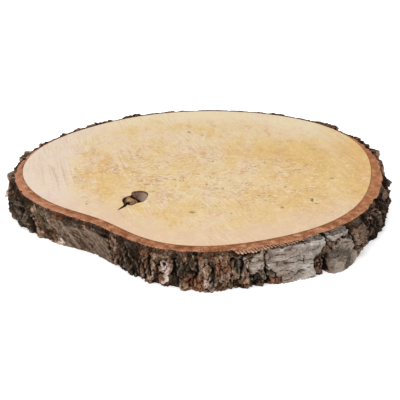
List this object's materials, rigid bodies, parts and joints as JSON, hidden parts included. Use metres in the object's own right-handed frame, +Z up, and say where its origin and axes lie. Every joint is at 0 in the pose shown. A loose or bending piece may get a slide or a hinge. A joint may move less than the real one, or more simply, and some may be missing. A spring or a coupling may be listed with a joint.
{
  "type": "wood slice",
  "caption": "Round slice sawn across a tree trunk, with its furrowed bark left on and a flat face to set things on.",
  "frame": {"origin": "the middle of the slice's box, on the plane of its flat underside", "axes": "+Z up, out of the sawn face; +X along the slice's widest way, away from the branch's lobe; -Y towards the side with the thick, furrowed bark"},
  "size_m": [0.3554, 0.3268, 0.034],
  "materials": {
    "sawn_wood": "fine sawn and sanded end grain, matt, pale cream with yellow and orange stains",
    "knot_wood": "dead knot, brown and grey, cracked, matt",
    "inner_bark": "terracotta brown, fibrous, matt",
    "outer_bark": "rough furrowed bark, dark brown with silver-grey and whitish plates, matt"
  },
  "bodies": {
    "root": {"wood": "sawn_wood", "knot": "knot_wood", "inner_bark": "inner_bark", "outer_bark": "outer_bark"}
  },
  "joints": []
}
